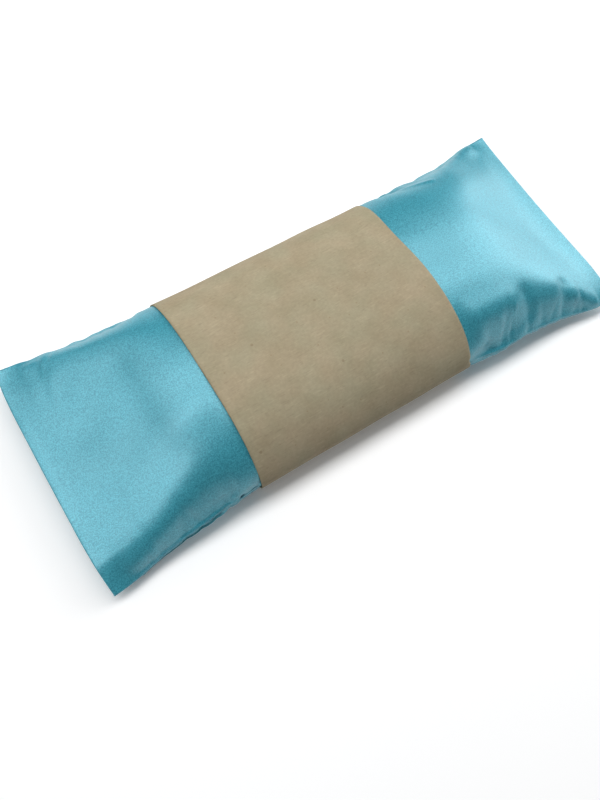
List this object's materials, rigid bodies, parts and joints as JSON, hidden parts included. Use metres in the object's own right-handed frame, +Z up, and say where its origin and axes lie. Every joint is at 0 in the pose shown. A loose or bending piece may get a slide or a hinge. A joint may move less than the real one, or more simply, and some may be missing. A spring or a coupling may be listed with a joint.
{
  "type": "eye pillow",
  "caption": "Rectangular satin eye pillow filled with flaxseed and lavender, with a paper belly band that slides off its end.",
  "frame": {"origin": "on the table, below the middle of the pillow", "axes": "+X along the pillow towards the end with the hand-closed gap, +Y across it towards the band's lap, +Z up"},
  "size_m": [0.241, 0.0974, 0.0331],
  "materials": {
    "satin": "turquoise satin weave, soft broad sheen",
    "cover_thread": "turquoise polyester sewing thread",
    "cotton": "unbleached plain-weave cotton",
    "pouch_thread": "natural cotton sewing thread",
    "flaxseed": "small glossy brown seeds",
    "lavender": "dried violet-grey flower buds",
    "kraft_paper": "unprinted brown kraft, matt and lightly mottled",
    "paste": "dry glue film"
  },
  "bodies": {
    "pillow": {"cover_top_panel": "satin", "cover_bottom_panel": "satin", "cover_needle_thread": "cover_thread", "cover_bobbin_thread": "cover_thread", "closing_thread": "cover_thread", "pouch_top_panel": "cotton", "pouch_bottom_panel": "cotton", "pouch_needle_thread": "pouch_thread", "pouch_bobbin_thread": "pouch_thread", "flaxseed_fill": "flaxseed", "lavender_buds": "lavender"},
    "band": {"belly_band": "kraft_paper", "band_paste": "paste"}
  },
  "joints": [
    {"name": "band_slide", "type": "slide", "parent": "pillow", "child": "band", "axis": [1, 0, 0], "range_m": [-0.165, 0.18], "deforming": ["belly_band", "band_paste"]}
  ]
}
